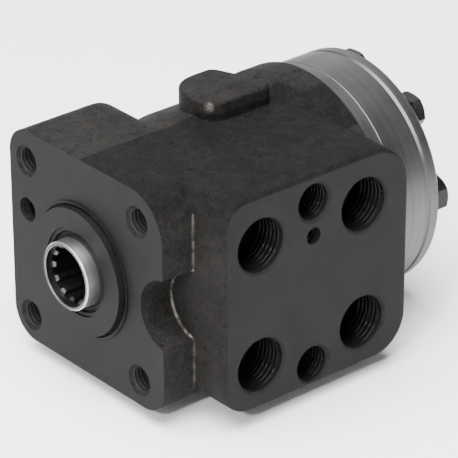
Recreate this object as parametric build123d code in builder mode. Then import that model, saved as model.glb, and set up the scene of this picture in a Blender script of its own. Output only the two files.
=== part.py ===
from build123d import *
from math import acos, asin, atan2, cos, degrees, hypot, pi, radians, sin, sqrt, tan
import os

# Orbital steering unit. X points out of the port face, Y runs along the shaft to the rear, Z is up.
# The origin is the centre of the column flange's face, on the shaft axis. All sizes are millimetres.

# Clearances and fits
spool_clearance = 0.04
sleeve_clearance = 0.04
pin_clearance = 0.02
gear_clearance = 0.05
side_clearance = 0.02
seal_clearance = 0.03
seat_clearance = 0.02
screw_clearance = 0.25
thread_clearance = 0.02

# Column flange and the deeper block on its left
flange_left = 38.3
flange_right = 42.0
flange_top = 40.4
flange_bottom = 38.4
flange_depth = 12.8
left_block_depth = 39.0
left_block_blend = 8.0
flange_corner_top_left = 10.0
flange_corner_top_right = 16.0
flange_corner_bottom_left = 11.0
flange_corner_bottom_right = 10.0
notch_radius = 12.8
notch_centre_x = 43.4
column_bolt_circle = 82.55
column_hole_radius = 4.25
column_hole_depth = 16.0
column_hole_rim_radius = 5.6

# Pilot boss, with the wiper recess and the bore for the spool's neck
boss_radius = 22.5
boss_height = 2.7
boss_foot_radius = 24.2
boss_foot_height = 0.6
boss_groove_width = 0.9
boss_groove_depth = 0.3
wiper_recess_radius = 15.6
wiper_recess_depth = 4.4
shaft_seal_groove_radius = 16.0
shaft_seal_groove_start = 3.2
shaft_seal_width = 3.0
front_wall = 8.0

# Round body, rear flange and cast pad
housing_length = 96.3
body_radius = 41.0
body_root_y = 20.0
body_root_drop = 3.0
body_slope_length = 26.0
rear_flange_radius = 44.3
rear_flange_width = 13.0
rear_flange_blend = 3.3
rear_flange_root = 5.0
rear_flange_edge = 3.0
pad_left = 16.3
pad_right = 7.6
pad_front = 48.8
pad_length = 30.0
pad_slant = 9.5
pad_top = 47.2
pad_corner_front_left = 11.7
pad_corner_front_right = 7.0
pad_corner_rear = 4.0
pad_edge = 1.2

# Port block
port_face_x = 57.4
port_block_setback = 3.5
port_block_bottom = 37.6
port_block_top = 40.4
port_corner_front_top = 9.0
port_corner_rear_top = 16.0
port_corner_rear_bottom = 13.5
port_corner_front_bottom = 12.0
port_face_edge = 1.6

# Ports: four G1/2, two bolt holes for a valve block and one plugged drilling
port_front_y = 28.7
port_rear_setback = 23.2
port_z = 22.0
port_radius = 9.5
port_depth = 16.0
port_rim_radius = 10.4
block_bolt_shift = 0.4
block_bolt_z = 30.1
block_bolt_radius = 6.25
block_bolt_depth = 15.0
block_bolt_rim_radius = 7.4
drill_point_angle = 118.0
gallery_shift = -0.1
gallery_z = 18.2
gallery_radius = 3.0
gallery_depth = 12.0
gallery_plug_length = 4.0
gallery_plug_recess = 2.6

# Oil passages from the ports to the ring grooves of the main bore
passage_radius = 3.2
passage_end_x = 8.0
upper_passage_shift = -3.5
lower_passage_shift = 3.5
groove_depth = 3.96
groove_width = 5.0
meter_row_setback = 10.3
meter_hole_radius = 1.9
meter_hole_circle = 24.0

# Spool and sleeve
sleeve_radius = 19.0
spool_radius = 14.0
neck_radius = 12.0
spool_reach = 7.3
spline_teeth = 12
spline_minor_radius = 8.9
spline_major_radius = 10.35
spline_length = 20.8
spline_tooth_width = 2.9
spline_flank_angle = 66.0
spline_end_chamfer = 0.8
lead_in_radius = 10.6
lead_in_depth = 2.4
lead_in_chamfer = 0.3
spool_bore_radius = 10.5
spool_bore_start = 24.0
stack_end_gap = 0.5
pin_y = 43.0
pin_radius = 3.95
pin_end_gap = 0.4
twist_limit = 12.0
meter_groove_width = 2.2
meter_groove_depth = 1.2
meter_groove_setback = 41.3
meter_groove_length = 35.0

# Leaf springs and their ring
leaf_thickness = 0.6
leaf_width = 5.0
leaf_bow = 0.7
leaf_gap = 0.02
spring_slot_height = 5.6
spring_slot_y = 18.8
spring_ring_thickness = 0.85
spring_ring_width = 5.8
spring_ring_slit = 2.0

# Thrust bearing
race_thickness = 1.9
inner_race_thickness = 1.9
needle_radius = 1.2
needle_count = 16
needle_inner = 13.6
needle_edge = 1.6
race_edge = 0.4
cage_thickness = 0.9

# Plate, gear ring, star and cover
stack_radius = 42.5
plate_thickness = 6.2
gear_width = 14.5
cover_thickness = 5.5
stack_edge = 0.25
cover_front_chamfer = 0.8
cover_rear_chamfer = 1.3
plate_bore_radius = 11.5
lobe_count = 7
lobe_radius = 7.6
lobe_circle = 28.5
eccentricity = 2.6
ring_root_clearance = 0.15
star_outline_count = 144
star_spacing_bias = 0.6
cover_bolt_circle = 33.8
cover_bolt_radius = 4.0
cover_bolt_core_radius = 3.4
cover_bolt_engagement = 12.5
cover_bolt_head_flats = 12.0
cover_bolt_head_height = 4.8
cover_bolt_head_turns = [30, 6, 0, 21, 44, 11, 52]
washer_radius = 6.7
washer_thickness = 1.4
o_ring_radius = 28.3
o_ring_width = 1.8
o_ring_height = 1.3
o_ring_side_gap = 0.1

# Drive shaft and spacer
shaft_neck_radius = 6.8
shaft_head_radius = 9.5
shaft_head_front = 37.0
shaft_head_rear = 49.5
shaft_fork_clearance = 0.3
shaft_fork_end_gap = 0.8
shaft_spline_tip_radius = 9.3
shaft_spline_root_radius = 8.1
shaft_spline_tooth_width = 1.9
shaft_spline_length = 11.4
shaft_head_setback = 6.8
shaft_spline_crown = 0.45
star_spline_minor_radius = 8.75
star_spline_major_radius = 10.0
star_spline_gap_width = 2.7
spacer_radius = 8.4
spacer_thickness = 1.3
spacer_gap = 0.3

# Check valve in the lower front port
check_chamber_radius = 4.6
check_ball_radius = 3.9
check_lift = 1.8
check_bushing_radius = 5.6
check_bushing_length = 3.0
check_bushing_bore_radius = 2.6

# Relief valve behind the small bore of the flange face
relief_x = -29.3
relief_z = 11.0
relief_bore_radius = 4.3
relief_plug_recess = 3.0
relief_key_flats = 5.0
relief_plug_length = 5.0
relief_adjuster_length = 5.0
relief_spring_length = 8.0
relief_spring_radius = 2.7
relief_spring_wire = 0.45
relief_spring_turns = 5
relief_poppet_length = 4.0
relief_poppet_radius = 3.4
relief_poppet_tip_radius = 1.0
relief_spigot_radius = 1.6
relief_spigot_length = 1.5
relief_plug_seal_thickness = 1.0
relief_seat_length = 3.5
relief_seat_bore_radius = 1.5
relief_drain_radius = 1.2

# Stations along the shaft, front to back
column_hole_offset = column_bolt_circle / 2 / sqrt(2)
bore_radius = sleeve_radius + sleeve_clearance
groove_radius = bore_radius + groove_depth
needle_outer = sleeve_radius - needle_edge
neck_bore_radius = neck_radius + 0.3
needle_y = front_wall + race_thickness + side_clearance + needle_radius
inner_race_start = needle_y + needle_radius + side_clearance
sleeve_front = inner_race_start + inner_race_thickness + side_clearance
sleeve_rear = housing_length - stack_end_gap
ring_front = housing_length + plate_thickness
ring_rear = ring_front + gear_width
cover_rear = ring_rear + cover_thickness
flange_root_depth = flange_depth + port_corner_front_bottom
port_block_front = flange_depth
port_block_rear = housing_length - port_block_setback
port_rear_y = housing_length - port_rear_setback
block_bolt_y = (port_front_y + port_rear_y) / 2 + block_bolt_shift
gallery_y = (port_front_y + port_rear_y) / 2 + gallery_shift
pad_rear = pad_front + pad_length
meter_row_y = housing_length - meter_row_setback
meter_groove_start = housing_length - meter_groove_setback
rear_flange_front = housing_length - rear_flange_width
lobe_pitch = 360 / lobe_count
star_teeth = lobe_count - 1
star_head_y = ring_front + shaft_head_setback
shaft_tilt = degrees(atan2(eccentricity, star_head_y - pin_y))
relief_plug_start = relief_plug_recess
relief_seal_start = relief_plug_start + relief_plug_length
relief_adjuster_start = relief_seal_start + relief_plug_seal_thickness
relief_spring_start = relief_adjuster_start + relief_adjuster_length
relief_poppet_start = relief_spring_start + relief_spring_length
relief_cone_start = relief_poppet_start + relief_poppet_length
relief_seat_start = relief_cone_start + relief_poppet_radius - relief_seat_bore_radius + seat_clearance
relief_seat_end = relief_seat_start + relief_seat_length


def disc_profile(radius_in, radius_out, start, end):
    """Rectangle from one radius to another and from start to end along Y, to be turned round Y."""
    with BuildSketch(Plane.XY) as profile:
        with Locations(((radius_in + radius_out) / 2, (start + end) / 2)):
            Rectangle(radius_out - radius_in, end - start)
    return profile.sketch


def turned_profile(*corners, plane=Plane.XY):
    """Closed outline of (radius, distance) corners, to be turned round the plane's Y direction."""
    with BuildSketch(plane) as profile:
        with BuildLine():
            Polyline(*corners, close=True)
        make_face()
    return profile.sketch


def stack_profile(radius_in, start, end, start_chamfer, end_chamfer):
    """Half section of a plate of the rear stack, its two outer edges chamfered."""
    return turned_profile((radius_in, start), (stack_radius - start_chamfer, start),
                          (stack_radius, start + start_chamfer), (stack_radius, end - end_chamfer),
                          (stack_radius - end_chamfer, end), (radius_in, end))


def circle_at(radius, x, y, z):
    """Circle in the plane square to the shaft at y, centred on x and z."""
    with BuildSketch(Plane.XZ.offset(-y)) as profile:
        with Locations((x, z)):
            Circle(radius)
    return profile.sketch


def circle_on_port_plane(radius, x, y, z):
    """Circle in the plane parallel to the port face at x, centred on y and z."""
    with BuildSketch(Plane.YZ.offset(x)) as profile:
        with Locations((y, z)):
            Circle(radius)
    return profile.sketch


def circle_across(radius, y):
    """Circle round the vertical line through the shaft axis at y."""
    with BuildSketch(Plane.XY) as profile:
        with Locations((0, y)):
            Circle(radius)
    return profile.sketch


def radial_planes(y, count, start_radius=0.0):
    """Planes facing outwards from the shaft axis at y, evenly spaced round it."""
    angles = [2 * pi * (index + 0.5) / count for index in range(count)]
    return [Plane(origin=(start_radius * cos(angle), y, start_radius * sin(angle)), x_dir=(0, 1, 0),
                  z_dir=(cos(angle), 0, sin(angle))) for angle in angles]


def bolt_circle_points(radius, count, first_angle=0.0):
    """Points (x, z) evenly spaced on a circle round the shaft."""
    angles = [radians(first_angle + 360 / count * index) for index in range(count)]
    return [(radius * cos(angle), radius * sin(angle)) for angle in angles]


def cover_bolt_holes(start, length):
    """Seven clearance holes of the cover screws, from start backwards."""
    with BuildSketch(Plane.XZ.offset(-start)) as profile:
        with Locations(*bolt_circle_points(cover_bolt_circle, lobe_count)):
            Circle(cover_bolt_radius + screw_clearance)
    return extrude(profile.sketch, amount=-length, mode=Mode.SUBTRACT)


def o_ring_groove(face_y, direction):
    """Face groove for an O-ring in a face at face_y, cut in the given direction along Y."""
    half_width = o_ring_width / 2 + o_ring_side_gap
    ends = sorted((face_y, face_y + direction * o_ring_height))
    profile = disc_profile(o_ring_radius - half_width, o_ring_radius + half_width, *ends)
    return revolve(profile, axis=Axis.Y, mode=Mode.SUBTRACT)


def o_ring_profile(face_y, direction):
    """Section of the O-ring that lies in the groove of the same face and direction."""
    with BuildSketch(Plane.XY) as profile:
        with Locations((o_ring_radius, face_y + direction * o_ring_height / 2)):
            RectangleRounded(o_ring_width, o_ring_height, o_ring_height / 3)
    return profile.sketch


def write(part, label):
    """Label a finished piece and write its STEP file."""
    part.label = label
    export_step(part, f"parts/{label}.step")


os.makedirs("parts", exist_ok=True)

# Flange outline, shared by the flange and its deeper left block
flange_corners = [
    (-flange_left, -flange_bottom),
    (flange_right, -flange_bottom),
    (flange_right, flange_top),
    (-flange_left, flange_top),
]
flange_radii = [
    flange_corner_bottom_left,
    flange_corner_bottom_right,
    flange_corner_top_right,
    flange_corner_top_left,
]
with BuildSketch(Plane.XZ) as flange_outline:
    with BuildLine():
        FilletPolyline(*flange_corners, radius=flange_radii, close=True)
    make_face()

with BuildSketch(Plane.XZ) as left_outline:
    with BuildLine():
        FilletPolyline(
            (-flange_left, -flange_bottom),
            (0, -flange_bottom),
            (0, flange_top),
            (-flange_left, flange_top),
            radius=[flange_corner_bottom_left, 0, 0, flange_corner_top_left],
            close=True,
        )
    make_face()

# Port block outline, seen along X
port_corners = [
    (port_block_front, -port_block_bottom),
    (port_block_rear, -port_block_bottom),
    (port_block_rear, port_block_top),
    (port_block_front, port_block_top),
]
port_radii = [
    port_corner_front_bottom,
    port_corner_rear_bottom,
    port_corner_rear_top,
    port_corner_front_top,
]
with BuildPart() as port_block:
    with BuildSketch(Plane.YZ) as port_outline:
        with BuildLine():
            FilletPolyline(*port_corners, radius=port_radii, close=True)
        make_face()
    extrude(amount=port_face_x)
    fillet(port_block.faces().sort_by(Axis.X)[-1].edges(), radius=port_face_edge)

with BuildPart() as left_block:
    extrude(left_outline.sketch, amount=-left_block_depth)
    fillet(left_block.faces().sort_by(Axis.Y)[-1].edges().filter_by_position(
        Axis.X, -flange_left - 1, -1), radius=left_block_blend)

with BuildPart() as cast_pad:
    with BuildSketch(Plane.XY) as pad_outline:
        with BuildLine():
            FilletPolyline(
                (pad_right, pad_front),
                (pad_right, pad_rear),
                (-pad_left, pad_rear - pad_slant),
                (-pad_left, pad_front),
                radius=[pad_corner_front_right, pad_corner_rear, pad_corner_rear, pad_corner_front_left],
                close=True,
            )
        make_face()
    extrude(amount=pad_top)
    fillet(cast_pad.faces().sort_by(Axis.Z)[-1].edges(), radius=pad_edge)

# Round body, swelling out of the blocks in front and ending in the rear flange
with BuildPart() as round_body:
    with BuildSketch(Plane.XY) as body_outline:
        with BuildLine():
            FilletPolyline(
                (0, body_root_y),
                (body_radius - body_root_drop, body_root_y),
                (body_radius, body_root_y + body_slope_length),
                (body_radius, rear_flange_front),
                (rear_flange_radius, rear_flange_front + rear_flange_blend),
                (rear_flange_radius, housing_length),
                (0, housing_length),
                radius=[0, 0, 0, rear_flange_root, rear_flange_edge, 0, 0],
                close=True,
            )
        make_face()
    revolve(axis=Axis.Y)

with BuildPart() as housing:
    # Outer form: flange with its corners running back to the port block, left block, body and pad
    extrude(flange_outline.sketch, amount=-flange_root_depth)
    add(left_block.part)
    add(round_body.part)
    add(port_block.part)
    add(cast_pad.part)
    # Pilot boss on its low foot, with a relief groove between them
    revolve(turned_profile((0, 0), (boss_foot_radius, 0), (boss_foot_radius, -boss_foot_height),
                           (boss_radius, -boss_foot_height), (boss_radius, -boss_height), (0, -boss_height)),
            axis=Axis.Y)
    revolve(disc_profile(boss_radius, boss_radius + boss_groove_width, -boss_foot_height, boss_groove_depth),
            axis=Axis.Y, mode=Mode.SUBTRACT)
    # Notch in the right side of the flange
    extrude(circle_at(notch_radius, notch_centre_x, 0, 0), amount=-flange_depth, mode=Mode.SUBTRACT)
    # Main bore, neck bore, wiper recess, seal groove and ring grooves
    revolve(disc_profile(0, bore_radius, front_wall, housing_length), axis=Axis.Y, mode=Mode.SUBTRACT)
    revolve(disc_profile(0, neck_bore_radius, -boss_height, front_wall), axis=Axis.Y, mode=Mode.SUBTRACT)
    revolve(disc_profile(0, wiper_recess_radius, -boss_height, -boss_height + wiper_recess_depth),
            axis=Axis.Y, mode=Mode.SUBTRACT)
    revolve(disc_profile(0, shaft_seal_groove_radius, shaft_seal_groove_start,
                         shaft_seal_groove_start + shaft_seal_width + 2 * seal_clearance),
            axis=Axis.Y, mode=Mode.SUBTRACT)
    for port_y in (port_front_y, port_rear_y):
        for shift in (upper_passage_shift, lower_passage_shift):
            groove_y = port_y + shift
            revolve(disc_profile(0, groove_radius, groove_y - groove_width / 2, groove_y + groove_width / 2),
                    axis=Axis.Y, mode=Mode.SUBTRACT)
    # Ports with their chamfered mouths and the passages behind them
    for port_y in (port_front_y, port_rear_y):
        for side, shift in ((1, upper_passage_shift), (-1, lower_passage_shift)):
            with Locations(Plane(origin=(port_face_x, port_y, side * port_z), x_dir=(0, 1, 0), z_dir=(1, 0, 0))):
                CounterSinkHole(port_radius, port_rim_radius, depth=port_depth, counter_sink_angle=90)
            extrude(circle_on_port_plane(passage_radius, passage_end_x, port_y + shift, side * port_z),
                    amount=port_face_x - port_depth - passage_end_x, mode=Mode.SUBTRACT)
    for side in (1, -1):
        with Locations(Plane(origin=(port_face_x, block_bolt_y, side * block_bolt_z), x_dir=(0, 1, 0),
                             z_dir=(1, 0, 0))):
            CounterSinkHole(block_bolt_radius, block_bolt_rim_radius, depth=block_bolt_depth,
                            counter_sink_angle=90)
        # The drill leaves its point at the floor of a bolt hole
        with Locations(Plane(origin=(port_face_x - block_bolt_depth, block_bolt_y, side * block_bolt_z),
                             x_dir=(0, 1, 0), z_dir=(-1, 0, 0))):
            Cone(block_bolt_radius, 0, block_bolt_radius / tan(radians(drill_point_angle / 2)),
                 align=(Align.CENTER, Align.CENTER, Align.MIN), mode=Mode.SUBTRACT)
    with Locations(Plane(origin=(port_face_x, gallery_y, gallery_z), x_dir=(0, 1, 0), z_dir=(1, 0, 0))):
        Hole(gallery_radius, depth=gallery_depth)
    # Check valve chamber and bushing seat in the lower front port
    check_y = port_front_y + lower_passage_shift
    port_floor_x = port_face_x - port_depth
    check_seat_x = port_floor_x - check_bushing_length
    check_ball_x = check_seat_x - seat_clearance - sqrt(check_ball_radius**2 - check_bushing_bore_radius**2)
    extrude(circle_on_port_plane(check_bushing_radius, port_floor_x, check_y, -port_z),
            amount=-check_bushing_length, mode=Mode.SUBTRACT)
    extrude(circle_on_port_plane(check_chamber_radius, check_seat_x, check_y, -port_z),
            amount=-(check_seat_x - check_ball_x + check_ball_radius + check_lift + 0.2), mode=Mode.SUBTRACT)
    # Column bolt holes
    for hole_x in (-column_hole_offset, column_hole_offset):
        for hole_z in (-column_hole_offset, column_hole_offset):
            with Locations(Plane(origin=(hole_x, 0, hole_z), x_dir=(1, 0, 0), z_dir=(0, -1, 0))):
                CounterSinkHole(column_hole_radius, column_hole_rim_radius, depth=column_hole_depth,
                                counter_sink_angle=90)
    # Tapped holes of the cover screws and the slanted metering drillings between them
    with BuildSketch(Plane.XZ.offset(-housing_length)) as cover_threads:
        with Locations(*bolt_circle_points(cover_bolt_circle, lobe_count)):
            Circle(cover_bolt_core_radius)
    extrude(amount=cover_bolt_engagement + 1.5, mode=Mode.SUBTRACT)
    meter_slope = atan2(meter_hole_circle - bore_radius, housing_length - meter_row_y)
    meter_length = hypot(meter_hole_circle - bore_radius, housing_length - meter_row_y) + 1
    for hole_x, hole_z in bolt_circle_points(meter_hole_circle, lobe_count, lobe_pitch / 2):
        inward = Vector(-hole_x, 0, -hole_z).normalized() * sin(meter_slope)
        drill = Plane(origin=(hole_x, housing_length, hole_z), z_dir=inward + Vector(0, -cos(meter_slope), 0))
        with BuildSketch(drill) as meter_mouth:
            Circle(meter_hole_radius)
        extrude(amount=meter_length, mode=Mode.SUBTRACT)
        extrude(meter_mouth.sketch, amount=-2, mode=Mode.SUBTRACT)
    o_ring_groove(housing_length, -1)
    # Relief valve bore with its drain to the main bore's second groove
    extrude(circle_at(relief_bore_radius, relief_x, 0, relief_z), amount=-relief_seat_end, mode=Mode.SUBTRACT)
    relief_inlet_y = relief_seat_end + relief_drain_radius + 0.5
    extrude(circle_at(relief_seat_bore_radius, relief_x, relief_seat_end, relief_z),
            amount=-(3 * relief_drain_radius), mode=Mode.SUBTRACT)
    relief_reach = hypot(relief_x, relief_z)
    for drill_y in (port_front_y + upper_passage_shift, relief_inlet_y):
        toward_axis = Vector(-relief_x, 0, -relief_z).normalized()
        with BuildSketch(Plane(origin=(relief_x, drill_y, relief_z), z_dir=toward_axis)):
            Circle(relief_drain_radius)
        extrude(amount=relief_reach - (bore_radius + groove_radius) / 2, mode=Mode.SUBTRACT)

write(housing.part, "housing")

# Distributor plate
with BuildPart() as distributor_plate:
    revolve(stack_profile(plate_bore_radius, housing_length, ring_front, stack_edge, stack_edge), axis=Axis.Y)
    cover_bolt_holes(housing_length, plate_thickness)
    with BuildSketch(Plane.XZ.offset(-housing_length)):
        with Locations(*bolt_circle_points(meter_hole_circle, lobe_count, lobe_pitch / 2)):
            Circle(meter_hole_radius + 0.1)
    extrude(amount=-plate_thickness, mode=Mode.SUBTRACT)
    o_ring_groove(ring_front, -1)

write(distributor_plate.part, "distributor_plate")

# Gear ring: seven lobes stand into the hollow, one in line with each cover screw
ring_root_radius = lobe_circle + 2 * eccentricity - lobe_radius + ring_root_clearance
with BuildPart() as gear_ring:
    revolve(stack_profile(0, ring_front, ring_rear, stack_edge, cover_front_chamfer), axis=Axis.Y)
    with BuildSketch(Plane.XZ.offset(-ring_front)):
        Circle(ring_root_radius)
        with Locations(*bolt_circle_points(lobe_circle, lobe_count)):
            Circle(lobe_radius, mode=Mode.SUBTRACT)
    extrude(amount=-gear_width, mode=Mode.SUBTRACT)
    cover_bolt_holes(ring_front, gear_width)

write(gear_ring.part, "gear_ring")


def star_point(turn):
    """Point of the star's outline: the lobe centres' path round the star, moved in by the lobe radius."""
    angle = turn + star_spacing_bias * sin(star_teeth * turn) / star_teeth
    path_x = lobe_circle * cos(angle) + eccentricity * cos(lobe_count * angle)
    path_z = lobe_circle * sin(angle) + eccentricity * sin(lobe_count * angle)
    slope_x = -lobe_circle * sin(angle) - lobe_count * eccentricity * sin(lobe_count * angle)
    slope_z = lobe_circle * cos(angle) + lobe_count * eccentricity * cos(lobe_count * angle)
    reach = (lobe_radius + gear_clearance) / hypot(slope_x, slope_z)
    return (path_x - reach * slope_z - eccentricity, path_z + reach * slope_x)


# Star: six teeth, its centre shifted from the shaft axis by the eccentricity
star_front = ring_front + side_clearance
star_width = gear_width - 2 * side_clearance
star_outline_points = [star_point(2 * pi * index / star_outline_count) for index in range(star_outline_count)]
with BuildPart() as star:
    with BuildSketch(Plane.XZ.offset(-star_front)):
        with BuildLine():
            Spline(*star_outline_points, periodic=True)
        make_face()
        with Locations((-eccentricity, 0)):
            Circle(star_spline_minor_radius, mode=Mode.SUBTRACT)
            with PolarLocations(star_spline_major_radius / 2, spline_teeth):
                Rectangle(star_spline_major_radius, star_spline_gap_width, mode=Mode.SUBTRACT)
    extrude(amount=-star_width)

write(star.part, "star")

# End cover
with BuildPart() as end_cover:
    revolve(stack_profile(0, ring_rear, cover_rear, cover_front_chamfer, cover_rear_chamfer), axis=Axis.Y)
    cover_bolt_holes(ring_rear, cover_thickness)
    o_ring_groove(ring_rear, 1)

write(end_cover.part, "end_cover")

# Cover screws and their washers, seven of each
screw_head_base = cover_rear + washer_thickness
screw_head_top = screw_head_base + cover_bolt_head_height
screw_thread_radius = cover_bolt_core_radius - thread_clearance
screw_thread_start = housing_length - cover_bolt_engagement
screw_shank_start = housing_length + 0.3
screw_points = [(x, 0, z) for x, z in bolt_circle_points(cover_bolt_circle, lobe_count)]
screw_places = [Location(point, (0, turn, 0)) for point, turn in zip(screw_points, cover_bolt_head_turns)]
with BuildPart() as one_screw:
    with BuildSketch(Plane.XZ.offset(-screw_head_base)):
        RegularPolygon(cover_bolt_head_flats / 2, 6, major_radius=False)
    extrude(amount=-cover_bolt_head_height)
    revolve(turned_profile((cover_bolt_head_flats / 2 - 0.2, screw_head_top),
                           (cover_bolt_head_flats, screw_head_top),
                           (cover_bolt_head_flats, screw_head_top - cover_bolt_head_flats / 3)),
            axis=Axis.Y, mode=Mode.SUBTRACT)
    revolve(turned_profile((0, screw_thread_start), (screw_thread_radius - 0.6, screw_thread_start),
                           (screw_thread_radius, screw_thread_start + 0.6),
                           (screw_thread_radius, screw_shank_start), (cover_bolt_radius, screw_shank_start),
                           (cover_bolt_radius, screw_head_base), (0, screw_head_base)), axis=Axis.Y)

with BuildPart() as cover_screws:
    with Locations(*screw_places):
        add(one_screw.part)

write(cover_screws.part, "cover_screws")

with BuildPart() as one_washer:
    revolve(disc_profile(cover_bolt_radius + screw_clearance, washer_radius, cover_rear, screw_head_base),
            axis=Axis.Y)
    chamfer(one_washer.faces().sort_by(Axis.Y)[-1].edges().sort_by(SortBy.RADIUS)[-1], length=0.3)

with BuildPart() as cover_washers:
    with Locations(*screw_points):
        add(one_washer.part)

write(cover_washers.part, "cover_washers")

# O-rings of the plate stack, each filling its face groove between two flat faces
with BuildPart() as o_ring_housing:
    revolve(o_ring_profile(housing_length, -1), axis=Axis.Y)

write(o_ring_housing.part, "o_ring_housing")

with BuildPart() as o_ring_plate:
    revolve(o_ring_profile(ring_front, -1), axis=Axis.Y)

write(o_ring_plate.part, "o_ring_plate")

with BuildPart() as o_ring_cover:
    revolve(o_ring_profile(ring_rear, 1), axis=Axis.Y)

write(o_ring_cover.part, "o_ring_cover")

# Wiper and pressure seal round the spool's neck
wiper_floor = wiper_recess_depth - boss_height
wiper_outer = wiper_recess_radius - seal_clearance
wiper_lip = neck_radius + 0.05
with BuildPart() as dust_seal:
    revolve(turned_profile((wiper_lip + 0.9, wiper_floor), (wiper_outer, wiper_floor), (wiper_outer, -2.1),
                           (wiper_outer - 1.2, -2.1), (wiper_outer - 1.6, -0.9), (wiper_lip + 1.0, -1.2),
                           (wiper_lip + 0.3, -2.2), (wiper_lip, -1.9), (wiper_lip + 0.6, -0.4)), axis=Axis.Y)

write(dust_seal.part, "dust_seal")

seal_rear = shaft_seal_groove_start + shaft_seal_width + 2 * seal_clearance
seal_front = seal_rear - shaft_seal_width
seal_outer = shaft_seal_groove_radius - seal_clearance
with BuildPart() as shaft_seal:
    revolve(turned_profile((wiper_lip, seal_front), (seal_outer, seal_front), (seal_outer, seal_rear),
                           (seal_outer - 1.1, seal_rear), (seal_outer - 1.5, seal_front + 1.1),
                           (wiper_lip + 1.2, seal_front + 1.1), (wiper_lip + 0.8, seal_rear - 0.2),
                           (wiper_lip, seal_rear - 0.6)), axis=Axis.Y)

write(shaft_seal.part, "shaft_seal")

# Spool
spool_shoulder = sleeve_front + 0.2
socket_bottom = spline_length - spool_reach
teeth_start = lead_in_depth - spool_reach
teeth_full = teeth_start + spline_end_chamfer
spool_pin_slot = 2 * (pin_radius + spool_radius * sin(radians(twist_limit)) + 0.3)
spring_slot_width = leaf_width + 0.2
with BuildPart() as spool:
    revolve(turned_profile((0, -spool_reach), (neck_radius - 0.5, -spool_reach), (neck_radius, -spool_reach + 0.5),
                           (neck_radius, spool_shoulder), (spool_radius, spool_shoulder),
                           (spool_radius, sleeve_rear), (0, sleeve_rear)), axis=Axis.Y)
    # Splined socket for the steering column's shaft, with a plain lead-in and chamfered teeth
    with BuildSketch(Plane.XZ.offset(spool_reach)):
        Circle(spline_major_radius)
        with PolarLocations((spline_minor_radius + spline_major_radius) / 2, spline_teeth):
            Trapezoid(spline_tooth_width, spline_major_radius - spline_minor_radius, spline_flank_angle,
                      rotation=90, mode=Mode.SUBTRACT)
    extrude(amount=-spline_length, mode=Mode.SUBTRACT)
    revolve(turned_profile((0, -spool_reach), (lead_in_radius + lead_in_chamfer, -spool_reach),
                           (lead_in_radius, -spool_reach + lead_in_chamfer), (lead_in_radius, teeth_start),
                           (spline_minor_radius + spline_end_chamfer, teeth_start),
                           (spline_minor_radius, teeth_full), (0, teeth_full)),
            axis=Axis.Y, mode=Mode.SUBTRACT)
    # Bore for the drive shaft, slot for the leaf springs and slots for the cross pin
    revolve(disc_profile(0, spool_bore_radius, spool_bore_start, sleeve_rear), axis=Axis.Y, mode=Mode.SUBTRACT)
    with Locations((0, spring_slot_y, 0)):
        Box(3 * spool_radius, spring_slot_width, spring_slot_height, mode=Mode.SUBTRACT)
    with Locations((0, pin_y, 0)):
        Box(spool_pin_slot, 2 * (pin_radius + screw_clearance), 3 * spool_radius, mode=Mode.SUBTRACT)
    # Metering grooves and the ring of small holes
    with BuildSketch(Plane.XZ.offset(-meter_groove_start)):
        with PolarLocations(spool_radius, spline_teeth, start_angle=180 / spline_teeth):
            Rectangle(2 * meter_groove_depth, meter_groove_width)
    extrude(amount=-meter_groove_length, mode=Mode.SUBTRACT)
    with BuildSketch(*radial_planes(port_front_y, 6)):
        Circle(1.5)
    extrude(amount=spool_radius + 1, mode=Mode.SUBTRACT)

write(spool.part, "spool")

# Sleeve
spring_groove_radius = sleeve_radius - spring_ring_thickness - 0.1
spring_groove_width = spring_ring_width + 0.2
with BuildPart() as sleeve:
    revolve(disc_profile(spool_radius + spool_clearance, sleeve_radius, sleeve_front, sleeve_rear), axis=Axis.Y)
    revolve(disc_profile(spring_groove_radius, sleeve_radius + 1, spring_slot_y - spring_groove_width / 2,
                         spring_slot_y + spring_groove_width / 2), axis=Axis.Y, mode=Mode.SUBTRACT)
    with Locations((0, spring_slot_y, 0)):
        Box(3 * sleeve_radius, spring_slot_width, spring_slot_height, mode=Mode.SUBTRACT)
    extrude(circle_across(pin_radius + pin_clearance, pin_y), amount=2 * sleeve_radius, both=True,
            mode=Mode.SUBTRACT)
    for port_y in (port_front_y, port_rear_y):
        for shift in (upper_passage_shift, lower_passage_shift):
            with BuildSketch(*radial_planes(port_y + shift, 6)):
                Circle(2.2)
            extrude(amount=sleeve_radius + 1, mode=Mode.SUBTRACT)
    with BuildSketch(*radial_planes(meter_row_y, 12)):
        Circle(1.6)
    extrude(amount=sleeve_radius + 1, mode=Mode.SUBTRACT)

write(sleeve.part, "sleeve")

# Cross pin through sleeve, spool and the drive shaft's fork
with BuildPart() as cross_pin:
    extrude(circle_across(pin_radius, pin_y), amount=sleeve_radius - pin_end_gap, both=True)
    chamfer(cross_pin.edges().filter_by(GeomType.CIRCLE), length=0.5)

write(cross_pin.part, "cross_pin")

# Leaf springs: two flat leaves between two pairs of bowed ones
leaf_reach = spring_groove_radius - 0.45
leaf_step = leaf_thickness + 2 * leaf_gap
leaf_bow_height = spring_slot_height / 2 - 3 * leaf_step
with BuildPart() as centring_springs:
    for side in (1, -1):
        for layer in range(3):
            bow = leaf_bow_height if layer else 0.001
            low = leaf_gap + layer * leaf_step
            high = low + leaf_thickness
            with BuildSketch(Plane.XZ.offset(-(spring_slot_y - leaf_width / 2))):
                with BuildLine():
                    ThreePointArc((-leaf_reach, side * (low + bow)), (0, side * low),
                                  (leaf_reach, side * (low + bow)))
                    Line((leaf_reach, side * (low + bow)), (leaf_reach, side * (high + bow)))
                    ThreePointArc((leaf_reach, side * (high + bow)), (0, side * high),
                                  (-leaf_reach, side * (high + bow)))
                    Line((-leaf_reach, side * (high + bow)), (-leaf_reach, side * (low + bow)))
                make_face()
            extrude(amount=-leaf_width)

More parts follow.
